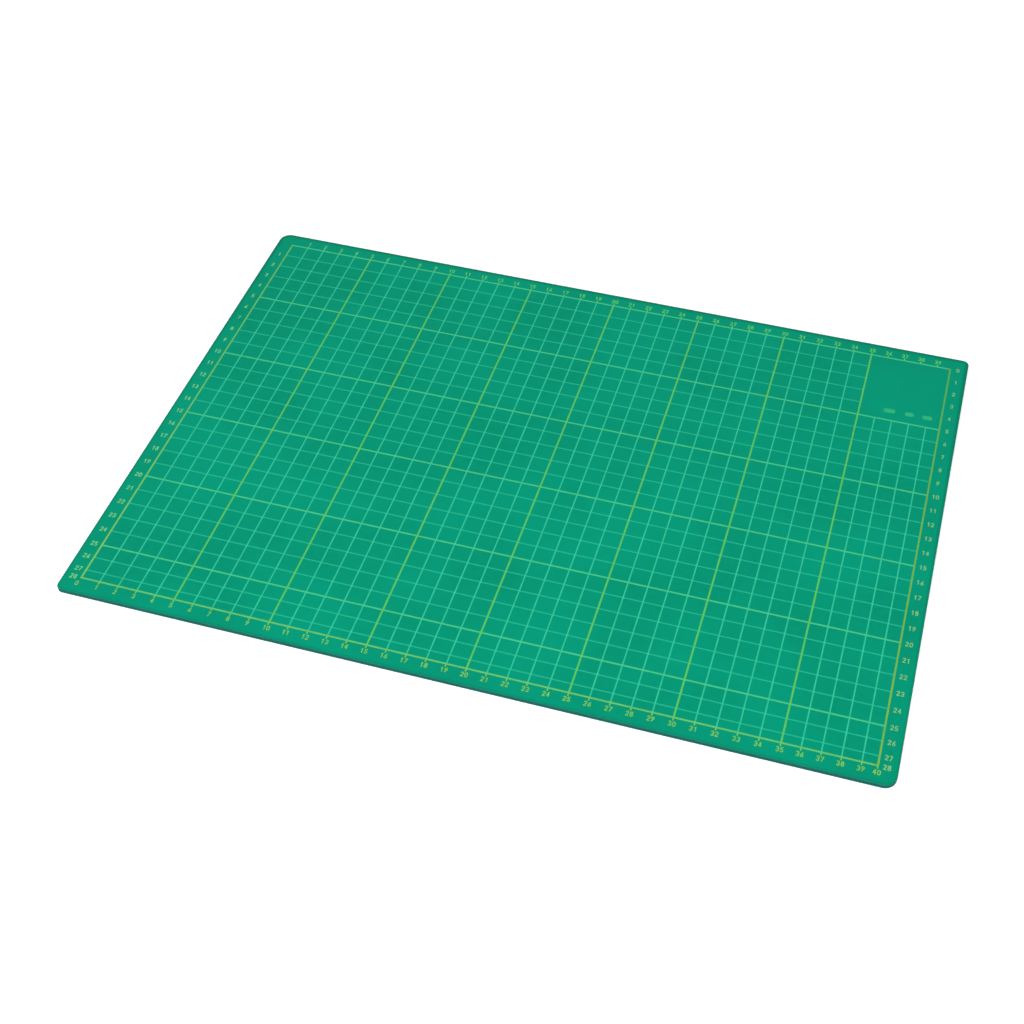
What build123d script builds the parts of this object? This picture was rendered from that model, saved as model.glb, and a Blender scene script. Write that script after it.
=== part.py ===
from build123d import *
import os
from math import atan2, cos, degrees, hypot, radians, sin, tan

# ---------------------------------------------------------------------------
# Self healing cutting mat: five laminated plies with a screen printed face.
# Millimetres, +Z up. Origin at the middle of the underside.
# +X runs along the long side, +Y towards the edge that carries the top scale.
# ---------------------------------------------------------------------------

# Sheet
mat_length = 413.0          # along X
mat_depth = 291.0           # along Y
corner_radii = [            # side along X, end along Y, radius
    (-1, 1, 6.0),
    (1, 1, 3.4),
    (1, -1, 6.0),
    (-1, -1, 3.0),
]
rim_radius = 0.25           # softened rim where the die cut the sheet

# Plies, from the underside up
bottom_ply = 1.0
lower_rigid = 0.3
core = 0.4
upper_rigid = 0.3
top_ply = 1.0
inner_setback = 0.05        # the stiff plies spring back a little behind the soft ones

# Printed frame and grid
frame_length = 394.0        # centre line to centre line
frame_depth = 272.3
cell = 10.0                 # one square of the grid
major_every = 5
columns = 40                # the last block of columns closes up towards the frame
rows = 28                   # and so does the last block of rows
edge_column = 9.2           # pitch of columns 36 to 39
edge_row = 8.5              # pitch of rows 26 and 27
ink = 0.05                  # height of the printed ink film
fine_line = 0.7
major_line = 0.9
frame_line = 0.9
panel_columns = 5           # blank panel in the top right block
panel_rows = 5

# Scales
digit_height = 2.8
digit_width = 1.6
digit_stroke = 0.44
digit_gap = 0.4
tick_length = 1.3
tick_width = 0.6
end_scale_offset = 3.2      # frame line to the middle of the digits, top and bottom
side_scale_offset = 4.2     # frame line to the middle of the digits, left and right

# Derived levels
z_lower_rigid = bottom_ply
z_core = z_lower_rigid + lower_rigid
z_upper_rigid = z_core + core
z_top_ply = z_upper_rigid + upper_rigid
z_face = z_top_ply + top_ply

left = -frame_length / 2
right = frame_length / 2
far = frame_depth / 2
near = -frame_depth / 2


def column_x(k):
    """X of the k-th vertical grid line, counted from the left frame line."""
    if k >= columns:
        return right
    last_major = columns - major_every
    return left + cell * min(k, last_major) + edge_column * max(0, k - last_major)


def row_y(k):
    """Y of the k-th horizontal grid line, counted down from the far frame line."""
    if k >= rows:
        return near
    last_major = rows - 3
    return far - cell * min(k, last_major) - edge_row * max(0, k - last_major)


def sheet_outline(sketch, setback=0.0):
    """Outline of the sheet, set back all round, each corner with its own radius."""
    Rectangle(mat_length - 2 * setback, mat_depth - 2 * setback)
    for side, end, radius in corner_radii:
        corner = sketch.vertices().sort_by(lambda v: side * v.X + end * v.Y)[-1]
        fillet(corner, radius - setback)


major_columns = [k for k in range(1, columns) if k % major_every == 0]
major_rows = [k for k in range(1, rows) if k % major_every == 0]

os.makedirs("parts", exist_ok=True)

# --- the five plies ---------------------------------------------------------

with BuildPart() as bottom_healing_ply:
    with BuildSketch(Plane.XY) as outline:
        sheet_outline(outline)
    extrude(amount=bottom_ply)
    fillet(bottom_healing_ply.faces().sort_by(Axis.Z)[0].edges(), rim_radius)

with BuildPart() as lower_rigid_ply:
    with BuildSketch(Plane.XY.offset(z_lower_rigid)) as outline:
        sheet_outline(outline, inner_setback)
    extrude(amount=lower_rigid)

with BuildPart() as core_ply:
    with BuildSketch(Plane.XY.offset(z_core)) as outline:
        sheet_outline(outline, 2 * inner_setback)
    extrude(amount=core)

with BuildPart() as upper_rigid_ply:
    with BuildSketch(Plane.XY.offset(z_upper_rigid)) as outline:
        sheet_outline(outline, inner_setback)
    extrude(amount=upper_rigid)

with BuildPart() as top_healing_ply:
    with BuildSketch(Plane.XY.offset(z_top_ply)) as outline:
        sheet_outline(outline)
    extrude(amount=top_ply)
    fillet(top_healing_ply.faces().sort_by(Axis.Z)[-1].edges(), rim_radius)

# --- printed frame ----------------------------------------------------------

with BuildPart() as border_frame_print:
    with BuildSketch(Plane.XY.offset(z_face)):
        Rectangle(frame_length + frame_line, frame_depth + frame_line)
        Rectangle(
            frame_length - frame_line, frame_depth - frame_line, mode=Mode.SUBTRACT
        )
    extrude(amount=ink)

# --- printed major grid: every fifth line, from frame to frame ----------------

with BuildPart() as major_grid_print:
    with BuildSketch(Plane.XY.offset(z_face)):
        with Locations(*[(column_x(k), 0) for k in major_columns]):
            Rectangle(major_line, frame_depth - frame_line)
        with Locations(*[(0, row_y(k)) for k in major_rows]):
            Rectangle(frame_length - frame_line, major_line)
    extrude(amount=ink)

# --- printed fine grid: the lines between the major ones, block by block ------

column_stops = [0] + major_columns + [columns]
row_stops = [0] + major_rows + [rows]

bars = {}
for c0, c1 in zip(column_stops, column_stops[1:]):
    for r0, r1 in zip(row_stops, row_stops[1:]):
        if c0 == columns - panel_columns and r0 == 0:
            continue                                    # the blank panel
        x0 = column_x(c0) + (frame_line if c0 == 0 else major_line) / 2
        x1 = column_x(c1) - (frame_line if c1 == columns else major_line) / 2
        y1 = row_y(r0) - (frame_line if r0 == 0 else major_line) / 2
        y0 = row_y(r1) + (frame_line if r1 == rows else major_line) / 2
        for k in range(c0 + 1, c1):
            size = (fine_line, round(y1 - y0, 6))
            bars.setdefault(size, []).append((column_x(k), (y0 + y1) / 2))
        for k in range(r0 + 1, r1):
            size = (round(x1 - x0, 6), fine_line)
            bars.setdefault(size, []).append(((x0 + x1) / 2, row_y(k)))

with BuildPart() as fine_grid_print:
    with BuildSketch(Plane.XY.offset(z_face)):
        for (width, height), places in bars.items():
            with Locations(*places):
                Rectangle(width, height)
    extrude(amount=ink)

# --- digits: plain round ended strokes, each drawn once about its own middle ---

half_w = (digit_width - digit_stroke) / 2
half_h = (digit_height - digit_stroke) / 2
pen = digit_stroke / 2
tangent_x = half_w * cos(radians(30))       # where the straight of a 6 or 9 leaves its ring
slope_x = (2 * half_h - 1.5 * half_w) * tan(radians(30)) - tangent_x


def line_stroke(x0, y0, x1, y1):
    """Straight round ended stroke, added to the open sketch."""
    with Locations(((x0 + x1) / 2, (y0 + y1) / 2)):
        SlotCenterToCenter(
            hypot(x1 - x0, y1 - y0),
            digit_stroke,
            rotation=degrees(atan2(y1 - y0, x1 - x0)),
        )


def arc_stroke(cx, cy, radius, start, sweep):
    """Round ended stroke along an arc, angles in degrees, added to the open sketch."""
    a, b = radians(start), radians(start + sweep)
    with BuildLine() as outline:
        CenterArc((cx, cy), radius + pen, start, sweep)
        CenterArc((cx, cy), radius - pen, start, sweep)
        for t in (a, b):
            Line(
                (cx + (radius - pen) * cos(t), cy + (radius - pen) * sin(t)),
                (cx + (radius + pen) * cos(t), cy + (radius + pen) * sin(t)),
            )
    make_face(outline.line)
    with Locations(*[(cx + radius * cos(t), cy + radius * sin(t)) for t in (a, b)]):
        Circle(pen)


def ring_stroke(cx, cy, radius):
    """Full ring, added to the open sketch."""
    with Locations((cx, cy)):
        Circle(radius + pen)
        Circle(radius - pen, mode=Mode.SUBTRACT)


with BuildSketch() as zero:
    SlotOverall(digit_height, digit_width, rotation=90)
    SlotOverall(
        digit_height - 2 * digit_stroke,
        digit_width - 2 * digit_stroke,
        rotation=90,
        mode=Mode.SUBTRACT,
    )

with BuildSketch() as one:
    line_stroke(0.12, -half_h, 0.12, half_h)
    line_stroke(0.12, half_h, -0.36, half_h - 0.46)

with BuildSketch() as two:
    arc_stroke(0, half_h - half_w, half_w, -35, 195)
    line_stroke(
        half_w * cos(radians(-35)),
        half_h - half_w + half_w * sin(radians(-35)),
        -half_w,
        -half_h,
    )
    line_stroke(-half_w, -half_h, half_w, -half_h)

with BuildSketch() as three:
    arc_stroke(-0.02, half_h - half_h / 2, half_h / 2, -90, 235)
    arc_stroke(-0.02, -half_h + half_h / 2, half_h / 2, -145, 235)

with BuildSketch() as four:
    line_stroke(0.26, -half_h, 0.26, half_h)
    line_stroke(0.26, half_h, -half_w, -0.42)
    line_stroke(-half_w, -0.42, half_w, -0.42)

with BuildSketch() as five:
    line_stroke(-0.42, half_h, 0.5, half_h)
    line_stroke(-0.42, half_h, -0.48, 0.14)
    arc_stroke(-0.08, -half_h + 0.66, 0.66, -140, 267)

with BuildSketch() as six:
    ring_stroke(0, -half_h + half_w, half_w)
    line_stroke(-tangent_x, -half_h + 1.5 * half_w, slope_x, half_h)

with BuildSketch() as seven:
    line_stroke(-half_w, half_h, half_w, half_h)
    line_stroke(half_w, half_h, -0.22, -half_h)

with BuildSketch() as eight:
    ring_stroke(0, half_h - 0.53, 0.53)
    ring_stroke(0, -half_h + 0.59, 0.59)

with BuildSketch() as nine:
    ring_stroke(0, half_h - half_w, half_w)
    line_stroke(tangent_x, half_h - 1.5 * half_w, -slope_x, -half_h)

digits = [zero, one, two, three, four, five, six, seven, eight, nine]


def number_places(labels):
    """Digit value -> list of places, for (number, x, y) labels centred on x, y."""
    places = {}
    step = digit_width + digit_gap
    for number, x, y in labels:
        text = str(number)
        for i, ch in enumerate(text):
            dx = (i - (len(text) - 1) / 2) * step
            places.setdefault(int(ch), []).append((x + dx, y))
    return places


# --- scale along the far edge: ticks and 1 to 39 ------------------------------

top_labels = [
    (k, column_x(k), far + frame_line / 2 + end_scale_offset) for k in range(1, columns)
]

with BuildPart() as top_scale_print:
    with BuildSketch(Plane.XY.offset(z_face)):
        with Locations(
            *[
                (column_x(k), far + frame_line / 2 + tick_length / 2)
                for k in range(1, columns)
            ]
        ):
            Rectangle(tick_width, tick_length)
        for value, places in sorted(number_places(top_labels).items()):
            with Locations(*places):
                add(digits[value].sketch)
    extrude(amount=ink)

# --- scale along the near edge: ticks and 0 to 40 -----------------------------

bottom_labels = [
    (k, column_x(k), near - frame_line / 2 - end_scale_offset)
    for k in range(1, columns + 1)
] + [(0, left - 0.6, near - frame_line / 2 - end_scale_offset)]

with BuildPart() as bottom_scale_print:
    with BuildSketch(Plane.XY.offset(z_face)):
        with Locations(
            *[
                (column_x(k), near - frame_line / 2 - tick_length / 2)
                for k in range(1, columns + 1)
            ]
        ):
            Rectangle(tick_width, tick_length)
        for value, places in sorted(number_places(bottom_labels).items()):
            with Locations(*places):
                add(digits[value].sketch)
    extrude(amount=ink)

# --- scale along the left edge: 1 to 28 ---------------------------------------

left_labels = [
    (k, left - side_scale_offset, row_y(k)) for k in range(1, rows + 1)
]

with BuildPart() as left_scale_print:
    with BuildSketch(Plane.XY.offset(z_face)):
        for value, places in sorted(number_places(left_labels).items()):
            with Locations(*places):
                add(digits[value].sketch)
    extrude(amount=ink)

# --- scale along the right edge: 0 to 28 --------------------------------------

right_labels = [
    (k, right + side_scale_offset, row_y(k)) for k in range(0, rows + 1)
]

with BuildPart() as right_scale_print:
    with BuildSketch(Plane.XY.offset(z_face)):
        for value, places in sorted(number_places(right_labels).items()):
            with Locations(*places):
                add(digits[value].sketch)
    extrude(amount=ink)

# --- three plain short bars at the foot of the blank panel ---------------------

bar_height = 3.0
panel_foot = row_y(panel_rows) + 7.4
panel_bars = [(column_x(36) + 7.0, 6.4), (column_x(38) - 0.6, 4.8), (column_x(39) - 0.2, 5.4)]

with BuildPart() as panel_bars_print:
    with BuildSketch(Plane.XY.offset(z_face)):
        for x, length in panel_bars:
            with Locations((x, panel_foot)):
                RectangleRounded(length, bar_height, bar_height * 0.45)
    extrude(amount=ink)

# --- names and files -----------------------------------------------------------

pieces = {
    "bottom_healing_ply": bottom_healing_ply,
    "lower_rigid_ply": lower_rigid_ply,
    "core_ply": core_ply,
    "upper_rigid_ply": upper_rigid_ply,
    "top_healing_ply": top_healing_ply,
    "border_frame_print": border_frame_print,
    "major_grid_print": major_grid_print,
    "fine_grid_print": fine_grid_print,
    "top_scale_print": top_scale_print,
    "bottom_scale_print": bottom_scale_print,
    "left_scale_print": left_scale_print,
    "right_scale_print": right_scale_print,
    "panel_bars_print": panel_bars_print,
}

for node, piece in pieces.items():
    piece.part.label = node
    export_step(piece.part, "parts/" + node + ".step")
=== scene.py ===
import bpy
from mathutils import Matrix, Vector

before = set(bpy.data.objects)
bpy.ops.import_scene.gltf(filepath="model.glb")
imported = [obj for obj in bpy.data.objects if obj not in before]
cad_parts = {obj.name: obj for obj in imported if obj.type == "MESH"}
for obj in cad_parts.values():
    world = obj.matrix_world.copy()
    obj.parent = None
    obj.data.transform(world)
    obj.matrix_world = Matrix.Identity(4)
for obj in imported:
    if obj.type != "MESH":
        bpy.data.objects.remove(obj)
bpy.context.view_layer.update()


MM = 0.001


# ---------------------------------------------------------------------------
# small helpers for node trees
# ---------------------------------------------------------------------------

def srgb(r, g, b):
    def lin(v):
        v /= 255.0
        return v / 12.92 if v <= 0.04045 else ((v + 0.055) / 1.055) ** 2.4
    return (lin(r), lin(g), lin(b), 1.0)


class Tree:
    def __init__(self, name):
        self.mat = bpy.data.materials.new(name)
        self.mat.use_nodes = True
        self.nt = self.mat.node_tree
        self.nt.nodes.clear()
        self.out = self.nt.nodes.new("ShaderNodeOutputMaterial")
        self.bsdf = self.nt.nodes.new("ShaderNodeBsdfPrincipled")
        self.nt.links.new(self.bsdf.outputs[0], self.out.inputs[0])
        self.coord = self.nt.nodes.new("ShaderNodeTexCoord").outputs["Object"]

    def link(self, a, b):
        self.nt.links.new(a, b)

    def put(self, socket, value):
        if hasattr(value, "is_output"):
            self.link(value, socket)
        else:
            socket.default_value = value

    def noise(self, size, detail=2.0, rough=0.5, seed=0.0, stretch=(1, 1, 1)):
        """Noise whose blobs are about `size` metres across; returns its 0..1 value."""
        m = self.nt.nodes.new("ShaderNodeMapping")
        m.inputs["Scale"].default_value = stretch
        m.inputs["Location"].default_value = (seed * 0.37, seed * 0.91, seed * 0.53)
        self.link(self.coord, m.inputs["Vector"])
        n = self.nt.nodes.new("ShaderNodeTexNoise")
        n.inputs["Scale"].default_value = 1.0 / size
        n.inputs["Detail"].default_value = detail
        n.inputs["Roughness"].default_value = rough
        self.link(m.outputs[0], n.inputs["Vector"])
        return n.outputs["Fac"]

    def cells(self, size, seed=0.0):
        """Distance field of small rounded pebbles about `size` metres across."""
        m = self.nt.nodes.new("ShaderNodeMapping")
        m.inputs["Location"].default_value = (seed * 0.37, seed * 0.91, seed * 0.53)
        self.link(self.coord, m.inputs["Vector"])
        v = self.nt.nodes.new("ShaderNodeTexVoronoi")
        v.feature = "SMOOTH_F1"
        v.inputs["Scale"].default_value = 1.0 / size
        v.inputs["Smoothness"].default_value = 0.6
        self.link(m.outputs[0], v.inputs["Vector"])
        return v.outputs["Distance"]

    def span(self, value, low, high, to_low, to_high, smooth=False):
        r = self.nt.nodes.new("ShaderNodeMapRange")
        r.interpolation_type = "SMOOTHSTEP" if smooth else "LINEAR"
        self.put(r.inputs["Value"], value)
        r.inputs["From Min"].default_value = low
        r.inputs["From Max"].default_value = high
        r.inputs["To Min"].default_value = to_low
        r.inputs["To Max"].default_value = to_high
        return r.outputs["Result"]

    def math(self, op, a, b=0.0):
        m = self.nt.nodes.new("ShaderNodeMath")
        m.operation = op
        self.put(m.inputs[0], a)
        self.put(m.inputs[1], b)
        return m.outputs[0]

    def mix(self, fac, a, b):
        m = self.nt.nodes.new("ShaderNodeMix")
        m.data_type = "RGBA"
        self.put(m.inputs[0], fac)
        self.put(m.inputs[6], a)
        self.put(m.inputs[7], b)
        return m.outputs[2]

    def bump(self, height, strength, distance, normal=None):
        b = self.nt.nodes.new("ShaderNodeBump")
        b.inputs["Strength"].default_value = strength
        b.inputs["Distance"].default_value = distance
        self.link(height, b.inputs["Height"])
        if normal is not None:
            self.link(normal, b.inputs["Normal"])
        return b.outputs["Normal"]

    def up(self):
        """1 on faces that look up or down, 0 on the cut edge."""
        g = self.nt.nodes.new("ShaderNodeNewGeometry")
        s = self.nt.nodes.new("ShaderNodeSeparateXYZ")
        self.link(g.outputs["Normal"], s.inputs[0])
        return self.math("ABSOLUTE", s.outputs[2])

    def axes(self):
        s = self.nt.nodes.new("ShaderNodeSeparateXYZ")
        self.link(self.coord, s.inputs[0])
        return s.outputs[0], s.outputs[1]

    def inset(self, half_x, half_y, tight, wide):
        """Distance in metres from the outline of the rounded sheet, growing inwards.

        Two opposite corners are tight, the other two wide.
        """
        x, y = self.axes()
        radius = self.span(self.math("MULTIPLY", x, y), -0.000001, 0.000001, wide, tight)
        qx = self.math("SUBTRACT", self.math("ADD", self.math("ABSOLUTE", x), radius), half_x)
        qy = self.math("SUBTRACT", self.math("ADD", self.math("ABSOLUTE", y), radius), half_y)
        px = self.math("MAXIMUM", qx, 0.0)
        py = self.math("MAXIMUM", qy, 0.0)
        outer = self.math("SQRT", self.math("ADD", self.math("MULTIPLY", px, px), self.math("MULTIPLY", py, py)))
        inner = self.math("MINIMUM", self.math("MAXIMUM", qx, qy), 0.0)
        return self.math("SUBTRACT", radius, self.math("ADD", outer, inner))


# ---------------------------------------------------------------------------
# materials
# ---------------------------------------------------------------------------

GREEN = srgb(0, 141, 109)
GREEN_DEEP = srgb(0, 134, 103)
GREEN_LIGHT = srgb(0, 147, 116)
# painted shade: the rim colour darkens a band just inside the outline of the sheet
RIM_SHADE_GREEN = srgb(0, 116, 88)
# cut edge colour: partly the cut PVC's own greyer tone, partly painted shade of the side wall
CUT_EDGE_TONE_AND_SHADE = srgb(8, 104, 91)
UNDER_GREEN = srgb(2, 120, 97)
HALF_X, HALF_Y, TIGHT, WIDE = 206.5 * MM, 145.5 * MM, 3.2 * MM, 6.0 * MM


def healing_pvc(name, base, deep, light, edge, rim):
    """Soft calendered PVC: fine pebbled grain, faint clouding, a band of painted shade just inside the outline,
    and a cut edge darker partly in its own tone and partly as painted shade.
    """
    t = Tree(name)
    cloud = t.noise(0.055, 3.0, 0.55, 1.0)
    mottle = t.noise(0.0035, 2.0, 0.6, 2.0)
    fleck = t.noise(0.0008, 2.0, 0.6, 3.0)
    face = t.mix(t.span(cloud, 0.34, 0.66, 0.0, 0.75, True), deep, light)
    face = t.mix(t.span(mottle, 0.30, 0.70, 0.0, 0.6, True), face, base)
    face = t.mix(t.span(fleck, 0.56, 0.72, 0.0, 0.35), face, light)
    x, y = t.axes()
    # painted shade: a darker band 0.5 to 2 mm inside the outline, wider and stronger towards the far end
    reach = t.math("MULTIPLY", t.inset(HALF_X, HALF_Y, TIGHT, WIDE), t.span(y, -HALF_Y, HALF_Y, 1.3, 0.65))
    painted_rim_shade = t.span(reach, 0.5 * MM, 2.0 * MM, 1.0, 0.0, True)
    painted_rim_shade = t.math("MULTIPLY", painted_rim_shade, t.span(y, -HALF_Y, HALF_Y, 0.5, 0.95))
    face = t.mix(painted_rim_shade, face, rim)
    drawn = t.noise(0.004, 3.0, 0.6, 4.0, (1, 1, 6))
    # cut edge: darker partly for its own tone and partly as painted shade, with darker knife drawn streaks
    side = t.mix(t.span(drawn, 0.3, 0.7, 0.0, 1.0), edge, tuple(v * 0.72 for v in edge[:3]) + (1.0,))
    colour = t.mix(t.span(t.up(), 0.35, 0.85, 0.0, 1.0, True), side, face)
    t.link(colour, t.bsdf.inputs["Base Color"])
    t.link(t.span(t.noise(0.0015, 2.0, 0.5, 5.0), 0.3, 0.7, 0.52, 0.66), t.bsdf.inputs["Roughness"])
    grain = t.bump(t.cells(0.00062, 6.0), 0.28, 0.00004)
    grain = t.bump(t.noise(0.0026, 2.0, 0.5, 7.0), 0.12, 0.00008, grain)
    t.link(grain, t.bsdf.inputs["Normal"])
    t.bsdf.inputs["Specular IOR Level"].default_value = 0.05
    return t.mat


def rigid_pvc(name, tone, streak):
    """Stiff inner sheet, seen only as a cut edge: knife drawn streaks along the rim."""
    t = Tree(name)
    drawn = t.noise(0.006, 4.0, 0.65, 1.0, (1, 1, 14))
    t.link(t.mix(t.span(drawn, 0.3, 0.7, 0.0, 1.0), tone, streak), t.bsdf.inputs["Base Color"])
    t.link(t.span(drawn, 0.3, 0.7, 0.42, 0.62), t.bsdf.inputs["Roughness"])
    t.link(t.bump(drawn, 0.3, 0.00005), t.bsdf.inputs["Normal"])
    t.bsdf.inputs["Specular IOR Level"].default_value = 0.1
    return t.mat


def print_finish(t, tone, thin, patch, seed):
    """Screen printed ink: satin, with soft patches where the film is thin over the green."""
    film = t.noise(0.0045, 3.0, 0.6, seed)
    speck = t.noise(0.0007, 2.0, 0.5, seed + 1.0)
    fac = t.math("ADD", t.span(film, 0.32, 0.70, 0.0, patch, True), t.span(speck, 0.55, 0.75, 0.0, 0.25))
    t.link(t.mix(fac, tone, thin), t.bsdf.inputs["Base Color"])
    t.link(t.span(speck, 0.3, 0.7, 0.38, 0.55), t.bsdf.inputs["Roughness"])
    t.link(t.bump(t.cells(0.00062, 6.0), 0.16, 0.00003), t.bsdf.inputs["Normal"])
    t.bsdf.inputs["Specular IOR Level"].default_value = 0.22
    return t.mat


def ink(name, tone, thin, seed):
    return print_finish(Tree(name), tone, thin, 0.6, seed)


def off_line(t, value, pitch):
    """Distance in metres from the nearest line of a row of lines `pitch` apart."""
    turn = t.math("FRACT", t.math("ADD", t.math("DIVIDE", value, pitch), 0.5))
    return t.math("MULTIPLY", t.math("ABSOLUTE", t.math("SUBTRACT", turn, 0.5)), pitch)


def grid_ink(name, along, across, thin, patch, half_line, pitch, end_pitch, seed):
    """Grid lines: those that run up the sheet print stronger than those across it."""
    t = Tree(name)
    x, y = t.axes()
    place = t.math("ADD", x, 197 * MM)
    end_place = t.math("SUBTRACT", x, 153 * MM)       # the last block has its own pitch
    last = t.math("GREATER_THAN", end_place, 0.0)
    even = off_line(t, place, pitch)
    close = off_line(t, end_place, end_pitch)
    off = t.math("ADD", t.math("MULTIPLY", even, t.math("SUBTRACT", 1.0, last)), t.math("MULTIPLY", close, last))
    upright = t.span(off, half_line, 2 * half_line, 1.0, 0.0, True)
    return print_finish(t, t.mix(upright, across, along), thin, patch, seed)


def frame_ink(name, left, right, near, far, thin, seed):
    """The border line: its tone drifts along and between the sides: the sides darker towards the far end, the
    right side darker than the left, the far end greener than the near end.

    `left` and `right` are pairs of tones, for the near and the far end of that side.
    """
    t = Tree(name)
    x, y = t.axes()
    upright = t.span(t.math("ABSOLUTE", x), 193 * MM, 197 * MM, 0.0, 1.0, True)
    back = t.span(y, -HALF_Y, HALF_Y, 0.0, 1.0)
    sides = t.mix(t.span(x, -150 * MM, 150 * MM, 0.0, 1.0, True), t.mix(back, *left), t.mix(back, *right))
    ends = t.mix(t.span(y, -100 * MM, 100 * MM, 0.0, 1.0, True), near, far)
    return print_finish(t, t.mix(upright, ends, sides), thin, 0.3, seed)


looks = {
    "top_healing_ply": healing_pvc("healing_pvc", GREEN, GREEN_DEEP, GREEN_LIGHT, CUT_EDGE_TONE_AND_SHADE, RIM_SHADE_GREEN),
    # underside ply: the last colour is the painted shade band along the rim, the one before it the cut edge,
    # darker partly as painted shade
    "bottom_healing_ply": healing_pvc(
        "underside_pvc", UNDER_GREEN, srgb(2, 112, 90), srgb(4, 127, 103), srgb(18, 96, 88), srgb(2, 104, 84)
    ),
    "upper_rigid_ply": rigid_pvc("upper_rigid_pvc", srgb(14, 92, 82), srgb(8, 80, 74)),
    "lower_rigid_ply": rigid_pvc("lower_rigid_pvc", srgb(16, 88, 80), srgb(10, 76, 70)),
    "core_ply": rigid_pvc("core_pvc", srgb(20, 66, 66), srgb(14, 54, 56)),
    "fine_grid_print": grid_ink(
        "teal_ink", srgb(46, 186, 145), srgb(28, 170, 131), srgb(20, 162, 124), 0.45,
        0.35 * MM, 10 * MM, 9.2 * MM, 11.0
    ),
    "major_grid_print": grid_ink(
        "lime_ink_major", srgb(88, 184, 84), srgb(66, 186, 128), srgb(52, 173, 106), 0.45,
        0.45 * MM, 50 * MM, 46 * MM, 21.0
    ),
    "border_frame_print": frame_ink(
        "lime_ink_frame", (srgb(120, 187, 89), srgb(90, 176, 95)), (srgb(118, 172, 60), srgb(88, 162, 72)),
        srgb(101, 184, 98), srgb(66, 187, 130), srgb(30, 158, 104), 31.0
    ),
    "top_scale_print": ink("lime_ink_top", srgb(102, 201, 92), srgb(66, 181, 98), 41.0),
    "bottom_scale_print": ink("lime_ink_bottom", srgb(124, 190, 72), srgb(82, 177, 84), 51.0),
    "left_scale_print": ink("pale_ink_left", srgb(126, 200, 122), srgb(86, 180, 118), 61.0),
    "right_scale_print": ink("pale_ink_right", srgb(132, 187, 116), srgb(90, 171, 112), 71.0),
    "panel_bars_print": ink("lime_ink_panel", srgb(42, 172, 114), srgb(30, 163, 112), 81.0),
}
for node, material in looks.items():
    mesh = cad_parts[node].data
    mesh.materials.clear()
    mesh.materials.append(material)

# ---------------------------------------------------------------------------
# stage: pale floor, soft even light
# ---------------------------------------------------------------------------

size = 4.0
level = 0.04 * MM      # a hair above the underside, so that the two never share a plane
floor_mesh = bpy.data.meshes.new("floor")
floor_mesh.from_pydata(
    [(-size, -size, level), (size, -size, level), (size, size, level), (-size, size, level)], [], [(0, 1, 2, 3)]
)
floor = bpy.data.objects.new("floor", floor_mesh)
bpy.context.scene.collection.objects.link(floor)
paper = Tree("pale_floor")
paper.link(
    paper.mix(paper.span(paper.noise(0.4, 2.0, 0.5, 1.0), 0.3, 0.7, 0.0, 1.0), srgb(246, 246, 246), srgb(248, 248, 248)),
    paper.bsdf.inputs["Base Color"],
)
paper.bsdf.inputs["Roughness"].default_value = 0.9
paper.bsdf.inputs["Specular IOR Level"].default_value = 0.1
paper.bsdf.inputs["Emission Color"].default_value = (1.0, 1.0, 1.0, 1.0)
far_off = paper.nt.nodes.new("ShaderNodeVectorMath")
far_off.operation = "LENGTH"
paper.link(paper.coord, far_off.inputs[0])
paper.link(paper.span(far_off.outputs["Value"], 0.9, 3.0, 0.22, 0.5, True), paper.bsdf.inputs["Emission Strength"])
floor_mesh.materials.append(paper.mat)

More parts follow.
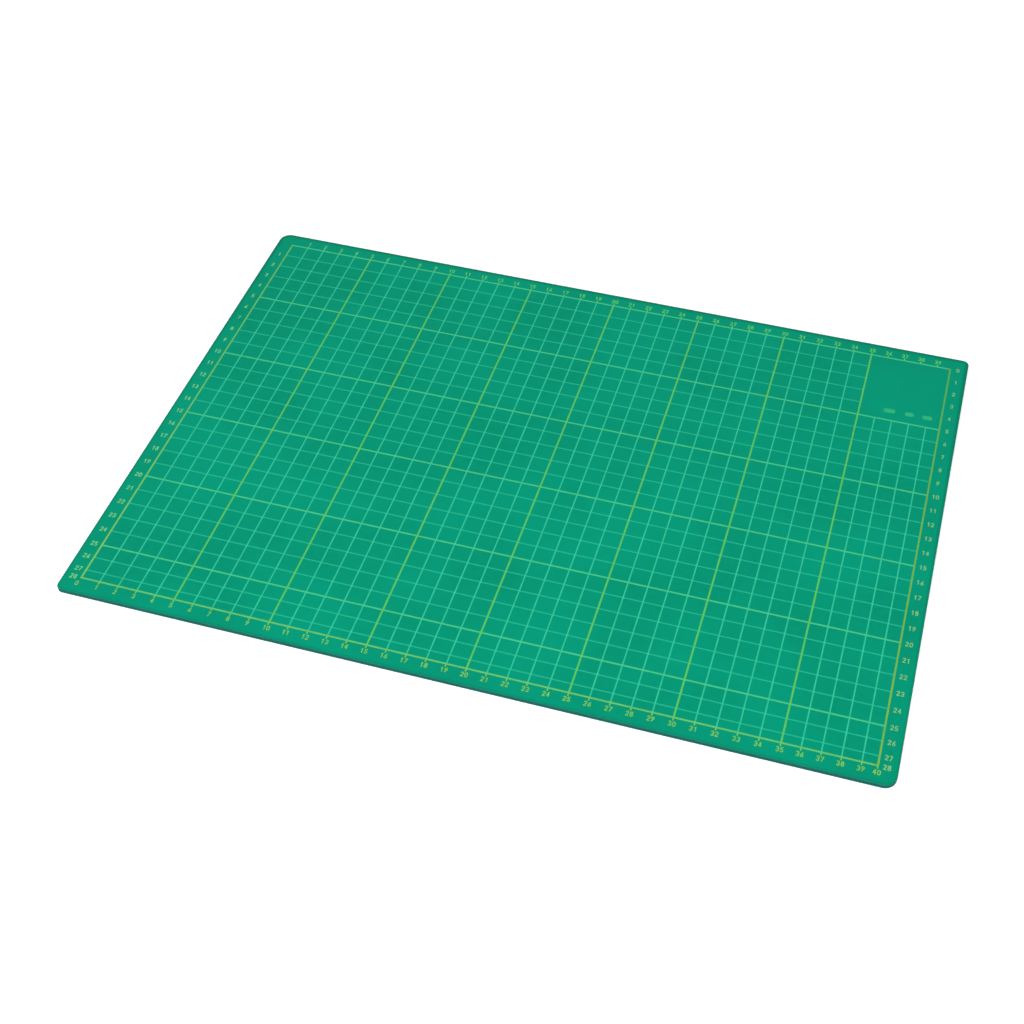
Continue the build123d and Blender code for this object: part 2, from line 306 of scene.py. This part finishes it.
scene = bpy.context.scene
world = bpy.data.worlds.new("studio")
scene.world = world
world.use_nodes = True
wt = world.node_tree
back = wt.nodes["Background"]
back.inputs["Color"].default_value = (1, 1, 1, 1)
where = wt.nodes.new("ShaderNodeTexCoord")
split = wt.nodes.new("ShaderNodeSeparateXYZ")
ramp = wt.nodes.new("ShaderNodeMapRange")
ramp.interpolation_type = "SMOOTHSTEP"
ramp.inputs["From Min"].default_value = -0.7
ramp.inputs["From Max"].default_value = 0.5
ramp.inputs["To Min"].default_value = 1.0
ramp.inputs["To Max"].default_value = 0.14
wt.links.new(where.outputs["Generated"], split.inputs[0])
wt.links.new(split.outputs[1], ramp.inputs["Value"])
lift = wt.nodes.new("ShaderNodeMapRange")       # pale walls all round, dimmer overhead at the far end
lift.interpolation_type = "SMOOTHSTEP"
lift.inputs["From Min"].default_value = 0.22
lift.inputs["From Max"].default_value = 0.52
lift.inputs["To Min"].default_value = 1.0
wt.links.new(split.outputs[2], lift.inputs["Value"])
wt.links.new(ramp.outputs["Result"], lift.inputs["To Max"])
wt.links.new(lift.outputs["Result"], back.inputs["Strength"])


def softbox(name, place, target, width, power):
    data = bpy.data.lights.new(name, "AREA")
    data.shape = "SQUARE"
    data.size = width
    data.energy = power
    obj = bpy.data.objects.new(name, data)
    scene.collection.objects.link(obj)
    obj.location = place
    obj.rotation_euler = (Vector(target) - Vector(place)).to_track_quat("-Z", "Y").to_euler()
    return obj


softbox("key_light", (0.12, -1.2, 1.6), (0, 0, 0), 1.5, 35.0)

scene.view_settings.view_transform = "Standard"
scene.view_settings.look = "None"
scene.view_settings.exposure = 0.0
scene.view_settings.gamma = 1.0

# ---------------------------------------------------------------------------
# camera
# ---------------------------------------------------------------------------

cam_data = bpy.data.cameras.new("camera")
cam_data.sensor_fit = "HORIZONTAL"
cam_data.sensor_width = 36.0
cam_data.lens = 1602.08 * 36.0 / 1024.0
cam_data.shift_x = (512.0 - 554.83) / 1024.0
cam_data.shift_y = (523.91 - 512.0) / 1024.0
cam_data.clip_start = 0.01
cam_data.clip_end = 50.0
cam = bpy.data.objects.new("camera", cam_data)
scene.collection.objects.link(cam)
x_axis = Vector((0.960656, 0.277735, 0.001778))
y_axis = Vector((-0.207655, 0.713974, 0.668671))
z_axis = Vector((0.184443, -0.642732, 0.743556))
turn = Matrix((x_axis, y_axis, z_axis)).transposed().to_4x4()
cam.matrix_world = Matrix.Translation((0.16784, -0.5605, 0.60903)) @ turn
scene.camera = cam
